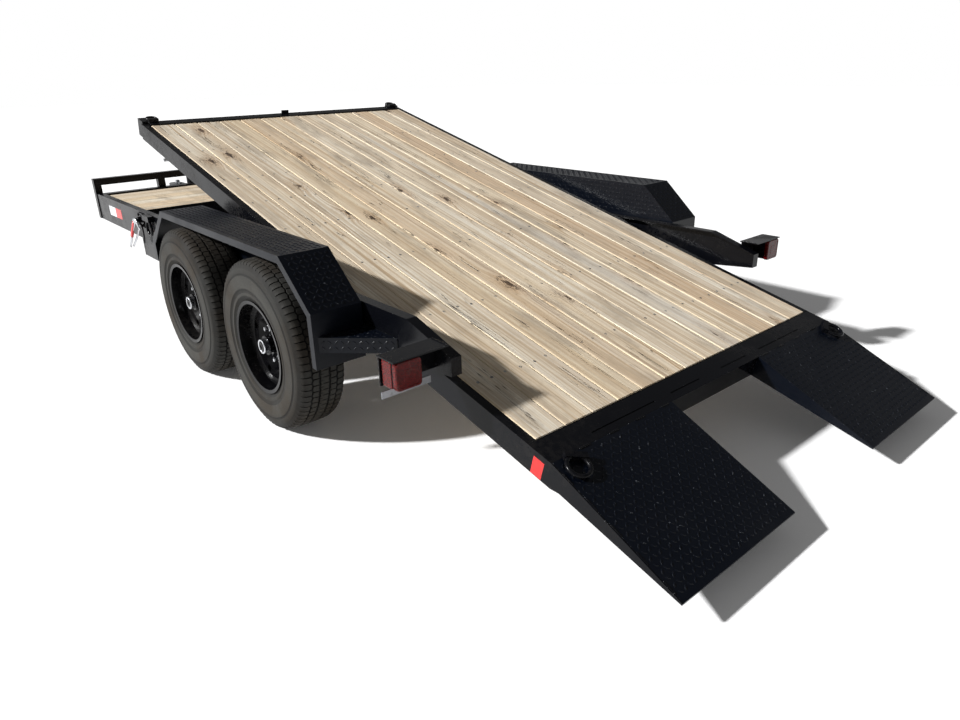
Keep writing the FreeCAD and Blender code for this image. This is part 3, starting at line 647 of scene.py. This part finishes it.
def tyre_outline(radius, half_width):
    """(radius, offset from the middle, dust, part) from the crown to the bead of one side. Dust is low in the
    grooves and the sidewall's recessed rings, as painted shade.
    """
    return [
        (radius, 0.0, 0.75, "crown"),
        (radius, 0.0180, 0.7, "crown"),
        (radius - GROOVE_DEPTH, 0.0190, 0.08, "groove"),
        (radius - GROOVE_DEPTH, 0.0270, 0.08, "groove"),
        (radius - 0.0003, 0.0280, 0.7, "rib"),
        (radius - 0.0008, 0.0405, 0.75, "rib"),
        (radius - 0.0012, 0.0535, 0.7, "rib"),
        (radius - GROOVE_DEPTH, 0.0545, 0.08, "groove"),
        (radius - GROOVE_DEPTH, 0.0615, 0.08, "groove"),
        (radius - 0.0018, 0.0625, 0.7, "shoulder"),
        (radius - 0.0035, 0.0780, 0.7, "shoulder"),
        (radius - 0.0070, 0.0890, 0.6, "shoulder"),
        (radius - 0.0130, 0.0975, 0.5, "shoulder"),
        (radius - 0.0210, 0.1020, 0.3, "wall"),
        (radius - 0.0340, half_width - 0.0090, 0.35, "wall"),
        (radius - 0.0370, half_width - 0.0070, 0.5, "wall"),
        (radius - 0.0560, half_width - 0.0035, 0.5, "wall"),
        (radius - 0.0590, half_width - 0.0045, 0.25, "wall"),
        (radius - 0.0660, half_width - 0.0035, 0.25, "wall"),
        (radius - 0.0690, half_width - 0.0010, 0.75, "wall"),
        (radius - 0.0950, half_width, 0.85, "wall"),
        (radius - 0.1230, half_width - 0.0010, 0.85, "wall"),
        (radius - 0.1260, half_width - 0.0035, 0.3, "wall"),
        (radius - 0.1420, half_width - 0.0060, 0.45, "wall"),
        (radius - 0.1460, half_width - 0.0040, 0.7, "wall"),
        (radius - 0.1560, half_width - 0.0050, 0.7, "wall"),
        (radius - 0.1630, half_width - 0.0120, 0.4, "wall"),
        (radius - 0.1780, half_width - 0.0150, 0.35, "wall"),
        (radius - 0.1850, half_width - 0.0200, 0.3, "wall"),
    ]


def tread_cut(part, phase):
    """Depth of the cross cuts at a place within one pitch of the pattern."""
    if part == "shoulder" and 0.02 < phase < 0.15:
        return 0.006
    if part == "rib" and 0.52 < phase < 0.65:
        return 0.006
    if part == "crown" and 0.02 < phase < 0.15:
        return 0.0025
    return 0.0


def make_tyre(end, side):
    """A tyre turned from its outline, with cuts across the tread and grooves that sway."""
    name = f"{end}_{side}"
    low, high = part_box("tyre_" + name)
    centre = (low + high) / 2
    radius, half = (high.x - low.x) / 2, (high.y - low.y) / 2
    outline = tyre_outline(radius, half)
    whole = [(r, -w, dust, part) for r, w, dust, part in reversed(outline[1:])] + outline
    points, dust_and_shade = [], []
    for i in range(TREAD_PITCHES):
        for step in TREAD_STEPS:
            turn = math.tau * (i + step) / TREAD_PITCHES
            for r, w, dust, part in whole:
                phase = step if w > 0 else (step + 0.5) % 1
                cut = tread_cut(part, phase)
                sway = 0.0 if part == "wall" else GROOVE_SWAY * (1 if step < 0.5 else -1)
                spot = Vector(((r - cut) * math.cos(turn), w + sway, (r - cut) * math.sin(turn)))
                points.append(centre + spot)
                # Cuts take the low dust value, which paints shade into them.
                dust_and_shade.append(CUT_SHADE if cut > 0.002 else dust)
    size, count = len(whole), TREAD_PITCHES * len(TREAD_STEPS)
    faces = []
    for i in range(count):
        here, there = i * size, (i + 1) % count * size
        for j in range(size - 1):
            faces.append((here + j, here + j + 1, there + j + 1, there + j))
    shape = Shape()
    shape.add(points, faces, dust=dust_and_shade)
    made = shape.piece("tread_tyre_" + name, "wheel_" + name, "tyre", smooth=True)
    made.data.set_sharp_from_angle(angle=math.radians(35))
    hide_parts("tyre_" + name)


# Outlines of the small round parts, as (radius, distance outward). The nuts and the valve are
# measured from their seats, the cap's rim and plug from the tyre's outer face.
NUT = [(0.016, 0), (0.016, 0.004), (0.0115, 0.006), (0.0115, 0.020), (0.009, 0.025), (0.0, 0.027)]
NUT_CIRCLE = 0.079
NUT_DEPTH = 0.0965
NUT_COUNT = 8
CAP_RIM = [(0.0338, -0.044), (0.0338, -0.0262), (0.0325, -0.0235), (0.0255, -0.0235), (0.0235, -0.0275)]
CAP_PLUG = [
    (0.0232, -0.0275),
    (0.0232, -0.0235),
    (0.0205, -0.022),
    (0.010, -0.022),
    (0.008, -0.025),
    (0, -0.025),
]
VALVE = [
    (0.0, 0),
    (0.009, 0.002),
    (0.0075, 0.010),
    (0.0045, 0.016),
    (0.0045, 0.034),
    (0.0055, 0.035),
    (0.0055, 0.046),
    (0, 0.047),
]
VALVE_TURN = math.radians(200)
VALVE_CIRCLE = 0.172
VALVE_DEPTH = 0.075


def wheel_details(end, side):
    """Lug nuts, the grease cap's bright rim and its plug, and the valve."""
    name = f"{end}_{side}"
    low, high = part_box("wheel_" + name)
    tyre_low, tyre_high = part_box("tyre_" + name)
    sign = SIDES[side]
    face = tyre_high.y if sign > 0 else tyre_low.y
    centre = Vector(((low.x + high.x) / 2, face, (low.z + high.z) / 2))
    outward = Matrix.Rotation(-sign * math.pi / 2, 4, "X")
    hub = Matrix.Translation(centre) @ outward
    nuts = Shape()
    for k in range(NUT_COUNT):
        turn = math.tau * k / NUT_COUNT
        seat = (NUT_CIRCLE * math.cos(turn), NUT_CIRCLE * math.sin(turn), -NUT_DEPTH)
        nuts.turned(NUT, hub @ Matrix.Translation(seat), 6)
    nuts.piece("lug_nuts_" + name, "wheel_" + name, "bright_steel", bevel=0.0006)
    rim = Shape()
    rim.turned(CAP_RIM, hub, 40)
    rim.piece("cap_rim_" + name, "wheel_" + name, "bright_steel", bevel=0.0004)
    plug = Shape()
    plug.turned(CAP_PLUG, hub, 32)
    plug.piece("cap_plug_" + name, "wheel_" + name, "tyre", material="gloss_black")
    valve = Shape()
    turned_hub = hub @ Matrix.Rotation(VALVE_TURN, 4, "Z")
    valve.turned(VALVE, turned_hub @ Matrix.Translation((VALVE_CIRCLE, 0, -VALVE_DEPTH)), 16)
    valve.piece("valve_" + name, "wheel_" + name, "tyre", material="gloss_black")


for end in ("front", "rear"):
    for side in SIDES:
        make_tyre(end, side)
        wheel_details(end, side)


# ---------------------------------------------------------------- lamps

LENS_CORNER = 0.014
LAMP_INNER = 1.156
CASE_INSET = 0.003
# The lens's face, as (share of its size, how far in from the lamp's rear end).
LENS_RINGS = (
    (1, 0.020),
    (1, 0.006),
    (0.97, 0.001),
    (0.92, 0.0002),
    (0.80, 0.0002),
    (0.79, 0.0012),
    (0.40, 0.0010),
    (0.39, 0.0002),
    (0.02, 0.0001),
)


def rounded_square(low, high, corner, steps=5):
    """Outline points of a rectangle with round corners, anticlockwise."""
    points = []
    centres = [(high[0] - corner, high[1] - corner), (low[0] + corner, high[1] - corner),
               (low[0] + corner, low[1] + corner), (high[0] - corner, low[1] + corner)]
    for quarter, (x, y) in enumerate(centres):
        for k in range(steps + 1):
            turn = math.pi / 2 * (quarter + k / steps)
            points.append((x + corner * math.cos(turn), y + corner * math.sin(turn)))
    return points


def domed(shape, outline, rings, place):
    """Stacks shrunken copies of an outline: each ring is (share of the size, height)."""
    size = len(outline)
    middle_x = sum(p[0] for p in outline) / size
    middle_y = sum(p[1] for p in outline) / size
    points = []
    for share, height in rings:
        for x, y in outline:
            spot = Vector((middle_x + (x - middle_x) * share, middle_y + (y - middle_y) * share, height))
            points.append(place @ spot)
    shape.tube(points, size)


def make_lamps():
    """A black case, a red rear lens and a red side marker for each lamp."""
    low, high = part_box("lamps")
    outer = high.y
    for side, sign in SIDES.items():
        # Rearward: local x runs outboard, local y up, local z to the rear.
        rearward = Matrix(((0, 0, -1, 0), (sign, 0, 0, 0), (0, 1, 0, 0), (0, 0, 0, 1)))
        # Outboard: local x runs to the rear, local y up, local z outboard.
        outboard = Matrix(((-1, 0, 0, 0), (0, 0, sign, 0), (0, 1, 0, 0), (0, 0, 0, 1)))
        case = Shape()
        inset_low = (LAMP_INNER + CASE_INSET, low.z + CASE_INSET)
        inset_high = (outer - CASE_INSET, high.z - CASE_INSET)
        case_rings = [(1, -high.x), (1, -low.x - 0.010), (0.985, -low.x - 0.0085)]
        domed(case, rounded_square(inset_low, inset_high, 0.010), case_rings, rearward)
        case.piece("lamp_case_" + side, "chassis", "red_lens", material="black_paint", bevel=0.0005)
        lens = Shape()
        lens_outline = rounded_square((LAMP_INNER, low.z), (outer - 0.002, high.z - 0.001), LENS_CORNER)
        domed(lens, lens_outline, [(share, -low.x - depth) for share, depth in LENS_RINGS], rearward)
        lens.piece("lamp_lens_" + side, "chassis", "red_lens")
        marker = Shape()
        marker_low = (-high.x + 0.004, low.z + 0.004)
        marker_high = (-low.x - 0.027, high.z - 0.004)
        marker_outline = rounded_square(marker_low, marker_high, 0.006)
        marker_rings = [(1, outer - 0.010), (1, outer - 0.002), (0.93, outer), (0.05, outer)]
        domed(marker, marker_outline, marker_rings, outboard)
        marker.piece("lamp_marker_" + side, "chassis", "red_lens")
    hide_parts("lamps")


make_lamps()


# ---------------------------------------------------------------- reflective tape

TAPE = 0.0005
RAIL_TAPE_Z = (0.541, 0.611)
RAIL_TAPE_X = {"white": (1.5377, 1.6967), "red": (1.4007, 1.5377)}
# The tail tape's two ends, measured back from the boards, and its two edges, down from their tops.
TAIL_TAPE_BACK = (0.089, 0.039)
TAIL_TAPE_DOWN = (0.100, 0.029)


def add_tape(name, body, slot, low, high, place=None):
    shape = Shape()
    shape.brick(low, high, place)
    shape.piece(name, body, "black_paint", material=slot)


def rail_tapes():
    """White and red tape near the front of each side rail."""
    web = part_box("rail_left")[1].y
    for side, sign in SIDES.items():
        y = sorted((sign * (web - LIFT), sign * (web + TAPE)))
        for colour, (start, end) in RAIL_TAPE_X.items():
            low = (start, y[0], RAIL_TAPE_Z[0])
            high = (end, y[1], RAIL_TAPE_Z[1])
            add_tape(f"{colour}_tape_{side}", "chassis", colour + "_tape", low, high)


def tail_tapes():
    """Red tape on the web of each deck rail, just behind the boards."""
    low, high = level_box("tilt_boards")
    web = level_box("tilt_rail_left")[1].y
    for side, sign in SIDES.items():
        y = sorted((sign * (web - LIFT), sign * (web + TAPE)))
        start = (low.x - TAIL_TAPE_BACK[0], y[0], high.z - TAIL_TAPE_DOWN[0])
        end = (low.x - TAIL_TAPE_BACK[1], y[1], high.z - TAIL_TAPE_DOWN[1])
        add_tape("tail_tape_" + side, "tilt_deck", "red_tape", start, end, RAISED)


rail_tapes()
tail_tapes()


# ---------------------------------------------------------------- fasteners and welds

CROSS_MEMBERS = (0.35, 0.82, 1.35, 1.81, 2.16, 2.50, 2.98)
SCREW = [
    (0.0058, -0.002),
    (0.0058, 0.0002),
    (0.0050, 0.0006),
    (0.0026, 0.0004),
    (0.0022, -0.0012),
    (0.0, -0.0012),
]
SCREW_OFFSET = 0.035
SCREW_STRAY = 0.006
SCREW_SINK = 0.0008


def deck_screws():
    """Two screws through each board at every cross-member."""
    low, high = level_box("tilt_boards")
    draw = random.Random(23)
    pitch = (high.y - low.y + PLANK_GAP) / TILT_PLANKS
    shape = Shape()
    for x in CROSS_MEMBERS:
        for i in range(TILT_PLANKS):
            for offset in (-SCREW_OFFSET, SCREW_OFFSET):
                along = low.x + x + draw.uniform(-SCREW_STRAY, SCREW_STRAY)
                across = low.y + pitch * (i + 0.5) + offset + draw.uniform(-SCREW_STRAY, SCREW_STRAY)
                spot = Matrix.Translation((along, across, high.z - SCREW_SINK))
                shape.turned(SCREW, RAISED @ spot, 12)
    shape.piece("deck_screws", "tilt_deck", "bright_steel", material="grey_steel")


def chassis_welds():
    """Beads where the steps, lamp brackets and ring brackets meet the side rails."""
    shape = Shape()
    seed = 0
    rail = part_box("rail_left")[1].y
    step_low, step_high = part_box("steps")
    bracket_low, bracket_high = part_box("lamp_brackets")
    ring_low, ring_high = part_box("rail_rings")
    for sign in SIDES.values():
        y = sign * (rail + 0.001)
        runs = [
            ((step_low.x + 0.01, y, step_high.z), (step_high.x - 0.01, y, step_high.z)),
            ((step_low.x, y, step_low.z + 0.006), (step_low.x, y, step_high.z - 0.004)),
            ((bracket_low.x + 0.006, y, bracket_high.z), (bracket_high.x - 0.006, y, bracket_high.z)),
            ((ring_low.x + 0.004, y, ring_high.z - 0.001), (ring_high.x - 0.004, y, ring_high.z - 0.001)),
        ]
        for start, end in runs:
            seed += 1
            shape.bead(start, end, 0.0032, seed)
    shape.piece("chassis_welds", "chassis", "black_paint", smooth=True)


def deck_welds():
    """Beads where the tail plates meet the band and the deck rails."""
    low, high = level_box("tilt_boards")
    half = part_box("tail_plate_left")[1].y
    top = high.z - BAND_SINK
    seam = low.x - BAND
    draw = random.Random(3)
    shape = Shape()
    for sign in SIDES.values():
        y = FLAP_INNER + 0.02
        while y < half - 0.07:
            run = draw.uniform(0.045, 0.06)
            start = (seam, sign * y, top + 0.0005)
            end = (seam, sign * (y + run), top + 0.0005)
            shape.bead(start, end, 0.003, int(y * 1e4), RAISED)
            y += 0.15
        for k in range(5):
            far = 0.05 + k * 0.11
            start = Vector((seam - far * math.cos(FLAP_DROP), sign * half, top - far * math.sin(FLAP_DROP)))
            end = start + Vector((-math.cos(FLAP_DROP), 0, -math.sin(FLAP_DROP))) * 0.05
            shape.bead(start, end, 0.0026, 40 + k, RAISED)
    shape.piece("deck_welds", "tilt_deck", "black_paint", smooth=True)


deck_screws()
chassis_welds()
deck_welds()


# ---------------------------------------------------------------- deck latch

def smooth_path(points, steps):
    """A rounded path through its middle control points (quadratic spans)."""
    points = [Vector(p) for p in points]
    path = []
    for k in range(1, len(points) - 1):
        start = points[k - 1] if k == 1 else (points[k - 1] + points[k]) / 2
        end = points[k + 1] if k == len(points) - 2 else (points[k] + points[k + 1]) / 2
        for i in range(steps + (1 if k == len(points) - 2 else 0)):
            t = i / steps
            path.append((1 - t) ** 2 * start + 2 * t * (1 - t) * points[k] + t * t * end)
    return path


def add_strap(shape, path, widths, thick, flat_side):
    """A flat bar along a path: widths are across flat_side and the path."""
    points = []
    sides = 12
    for i, spot in enumerate(path):
        ahead = (path[min(i + 1, len(path) - 1)] - path[max(i - 1, 0)]).normalized()
        across = ahead.cross(flat_side).normalized()
        out = across.cross(ahead).normalized()
        share = i / (len(path) - 1) * (len(widths) - 1)
        k = min(int(share), len(widths) - 2)
        width = widths[k] + (widths[k + 1] - widths[k]) * (share - k)
        for side in range(sides):
            turn = math.tau * side / sides
            x, y = math.cos(turn), math.sin(turn)
            # This power makes the round section nearly square.
            grow = (abs(x) ** 4 + abs(y) ** 4) ** -0.25
            points.append(spot + across * (x * grow * width / 2) + out * (y * grow * thick / 2))
    shape.tube(points, sides)


LATCH_LOW_Z = 0.560
LATCH_REACH = 0.100
BOLTS = ((0.016, 0.576), (0.084, 0.576), (0.016, 0.641), (0.084, 0.641))
BOLT = [(0.010, 0), (0.010, 0.006), (0.008, 0.008), (0, 0.008)]
BOSS = [(0.021, 0), (0.021, 0.020), (0.018, 0.024), (0.014, 0.025), (0.014, 0.046), (0, 0.047)]


def latch_plate(low, high, rail):
    """The black plate on the rail, with its four bolts and the lever's boss."""
    plate = Shape()
    plate.brick((low.x, rail + LIFT, LATCH_LOW_Z), (low.x + LATCH_REACH, rail + 0.010, high.z))
    outward = Matrix.Rotation(-math.pi / 2, 4, "X")
    for x, z in BOLTS:
        plate.turned(BOLT, Matrix.Translation((low.x + x, rail + 0.0098, z)) @ outward, 6)
    plate.turned(BOSS, Matrix.Translation((low.x + 0.050, rail + 0.009, 0.612)) @ outward, 28)
    made = plate.piece("latch_plate", "chassis", "bright_steel", material="black_paint", bevel=0.001)
    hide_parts("deck_latch")


def curved_bar(name, path, widths, thick, material="bright_steel"):
    bar = Shape()
    add_strap(bar, path, widths, thick, Vector((0, 1, 0)))
    bar.piece(name, "chassis", "bright_steel", material=material, smooth=True)


def make_latch():
    """Over-centre latch on the left rail: black plate, plated lever and link, red grip and a hook."""
    low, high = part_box("deck_latch")
    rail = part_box("rail_left")[1].y
    latch_plate(low, high, rail)
    top = Vector((low.x + 0.020, rail + 0.046, 0.590))
    tip = Vector((high.x + 0.026, high.y - 0.006, low.z + 0.010))
    path = smooth_path([
        top + Vector((-0.034, 0, -0.034)),
        top + Vector((0.010, 0.004, 0.046)),
        top + Vector((0.080, 0.010, -0.030)),
        tip,
    ], 10)
    link_path = smooth_path([
        top + Vector((0.000, -0.016, 0.000)),
        top + Vector((0.060, -0.012, -0.080)),
        tip + Vector((-0.028, -0.012, 0.006)),
    ], 12)
    hook_path = smooth_path([
        top + Vector((0.012, -0.026, -0.006)),
        top + Vector((-0.034, -0.024, -0.050)),
        top + Vector((-0.004, -0.020, -0.130)),
    ], 12)
    curved_bar("latch_lever", path, (0.020, 0.036, 0.040, 0.030, 0.022), 0.010)
    curved_bar("latch_link", link_path, (0.018, 0.018, 0.016), 0.008)
    curved_bar("latch_grip", path[-11:-3], (0.028, 0.033, 0.031, 0.027), 0.016, "red_tape")
    curved_bar("latch_hook", hook_path, (0.024, 0.020, 0.012), 0.009, "black_paint")


make_latch()


# ---------------------------------------------------------------- camera, floor and light

def look(position, yaw, pitch, roll, lens):
    """Camera at a place, turned by yaw, then tipped down by pitch, then rolled."""
    forward = Vector((math.cos(yaw) * math.cos(pitch), math.sin(yaw) * math.cos(pitch), -math.sin(pitch)))
    level = forward.cross(Vector((0, 0, 1))).normalized()
    over = level.cross(forward)
    right = math.cos(roll) * level + math.sin(roll) * over
    up = -math.sin(roll) * level + math.cos(roll) * over
    camera = bpy.data.objects.new("camera", bpy.data.cameras.new("camera"))
    camera.data.lens = lens
    turn = Matrix((right, up, -forward)).transposed().to_4x4()
    camera.matrix_world = Matrix.Translation(position) @ turn
    bpy.context.scene.collection.objects.link(camera)
    bpy.context.scene.camera = camera


look((-4.1942, 2.4405, 1.5253), math.radians(-40.611), math.radians(22.657), math.radians(-1.312), 26.48)


def seen_directly(n):
    """1 for what the camera sees directly, in a reflection or through a clear thing."""
    rays = n.node("ShaderNodeLightPath").outputs
    direct = n.math("MAXIMUM", rays["Is Camera Ray"], rays["Is Glossy Ray"])
    return n.math("MAXIMUM", direct, rays["Is Transmission Ray"])


def make_floor():
    n = Nodes("floor")
    colour = n.mix(seen_directly(n), srgb(225, 225, 225), (1, 1, 1, 1))
    n.finish(colour, 0.95, Specular_IOR_Level=0.0)
    n.feed(n.shader.inputs["Emission Color"], (1, 1, 1, 1))
    n.feed(n.shader.inputs["Emission Strength"], n.math("MULTIPLY", seen_directly(n), 0.03))
    shape = bpy.data.meshes.new("floor")
    reach = 40
    corners = [(-reach, -reach, 0), (reach, -reach, 0), (reach, reach, 0), (-reach, reach, 0)]
    shape.from_pydata(corners, [], [(0, 1, 2, 3)])
    shape.materials.append(n.material)
    floor = bpy.data.objects.new("floor", shape)
    bpy.context.scene.collection.objects.link(floor)


HORIZON = 0.5
CEILING = 0.13


def make_world():
    """White for the camera; for the light, mid grey round the horizon and darker overhead."""
    world = bpy.data.worlds.new("world")
    world.use_nodes = True
    tree = world.node_tree
    background = tree.nodes["Background"]
    direction = tree.nodes.new("ShaderNodeTexCoord").outputs["Generated"]
    split = tree.nodes.new("ShaderNodeSeparateXYZ")
    tree.links.new(direction, split.inputs[0])
    fade = tree.nodes.new("ShaderNodeMapRange")
    fade.interpolation_type = "SMOOTHSTEP"
    tree.links.new(split.outputs["Z"], fade.inputs["Value"])
    for name, value in (("From Min", 0.05), ("From Max", 0.5), ("To Min", HORIZON), ("To Max", CEILING)):
        fade.inputs[name].default_value = value
    rays = tree.nodes.new("ShaderNodeLightPath")
    strength = tree.nodes.new("ShaderNodeMath")
    strength.operation = "MAXIMUM"
    tree.links.new(rays.outputs["Is Camera Ray"], strength.inputs[0])
    tree.links.new(fade.outputs["Result"], strength.inputs[1])
    tree.links.new(strength.outputs[0], background.inputs["Strength"])
    background.inputs["Color"].default_value = (1, 1, 1, 1)
    bpy.context.scene.world = world


SUN_STRENGTH = 5.6
SUN_SPREAD = math.radians(3)
SUN_DIRECTION = Vector((-0.42, -0.73, -0.54))


def make_sun():
    sun = bpy.data.objects.new("sun", bpy.data.lights.new("sun", "SUN"))
    sun.data.energy = SUN_STRENGTH
    sun.data.angle = SUN_SPREAD
    sun.rotation_euler = SUN_DIRECTION.to_track_quat("-Z", "Y").to_euler()
    bpy.context.scene.collection.objects.link(sun)


make_floor()
make_world()
make_sun()
bpy.context.scene.view_settings.view_transform = "Standard"
